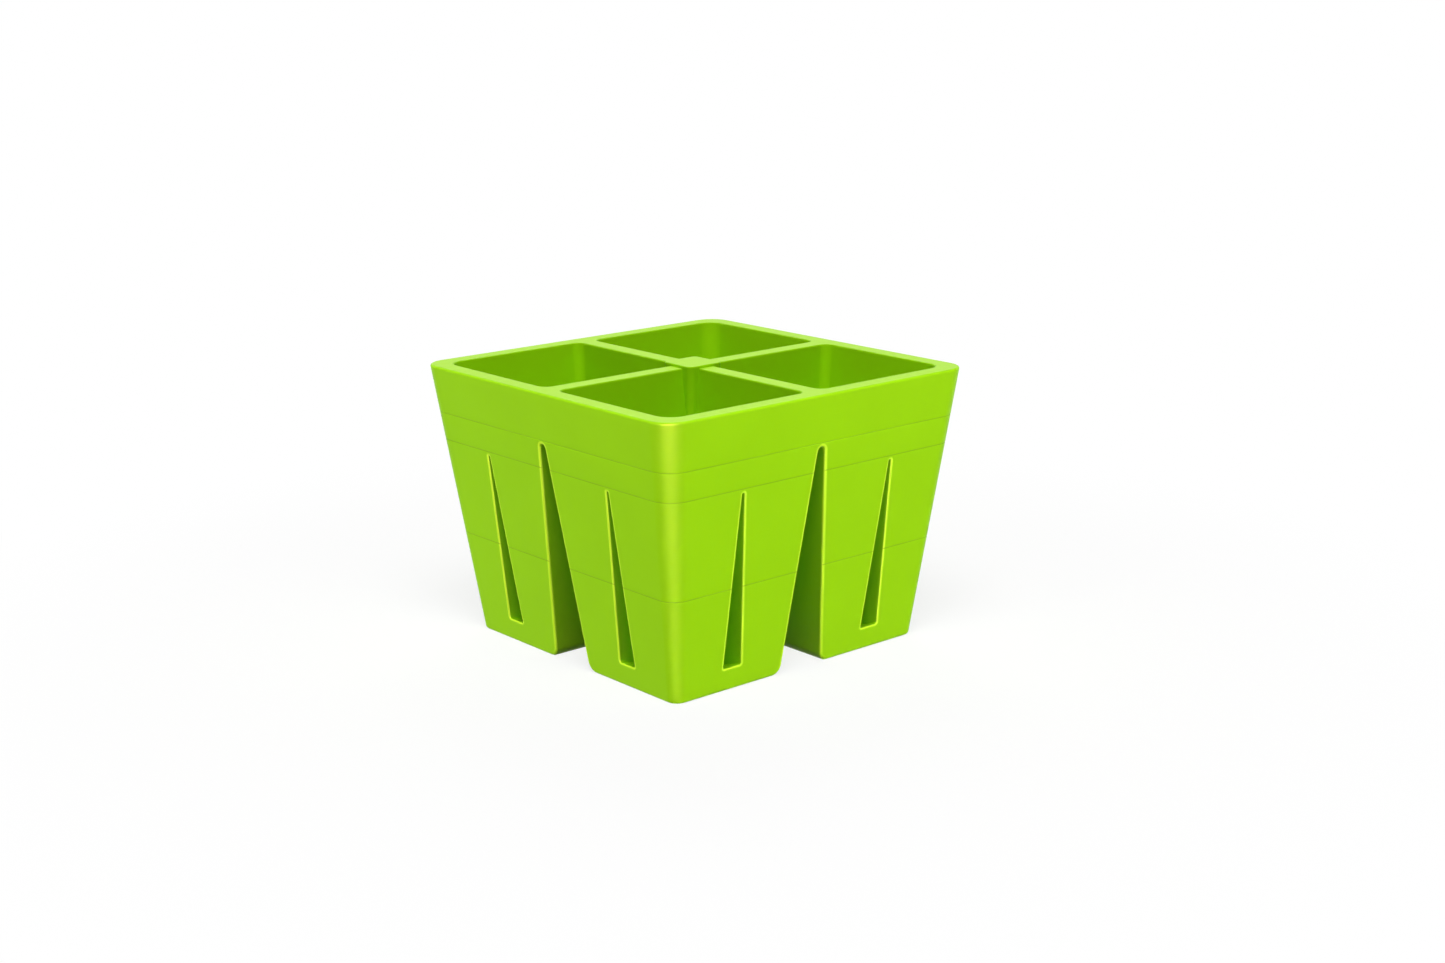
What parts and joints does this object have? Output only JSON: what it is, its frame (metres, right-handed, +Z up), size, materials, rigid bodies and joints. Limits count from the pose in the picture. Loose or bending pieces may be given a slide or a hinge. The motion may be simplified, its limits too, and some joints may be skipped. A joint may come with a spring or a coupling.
{
  "type": "seed starting tray",
  "caption": "Square plastic tray with tapered seedling cells, air slots in the cell walls and open gaps between the cells.",
  "frame": {"origin": "centre of the square that the four feet stand in, on the surface that the tray stands on", "axes": "+Z up through the rib crossing; X and Y square to the outer faces, along the two ribs"},
  "size_m": [0.1268, 0.1268, 0.0919],
  "materials": {
    "tray": "satin, as moulded"
  },
  "bodies": {
    "root": {"tray": "tray"}
  },
  "joints": []
}
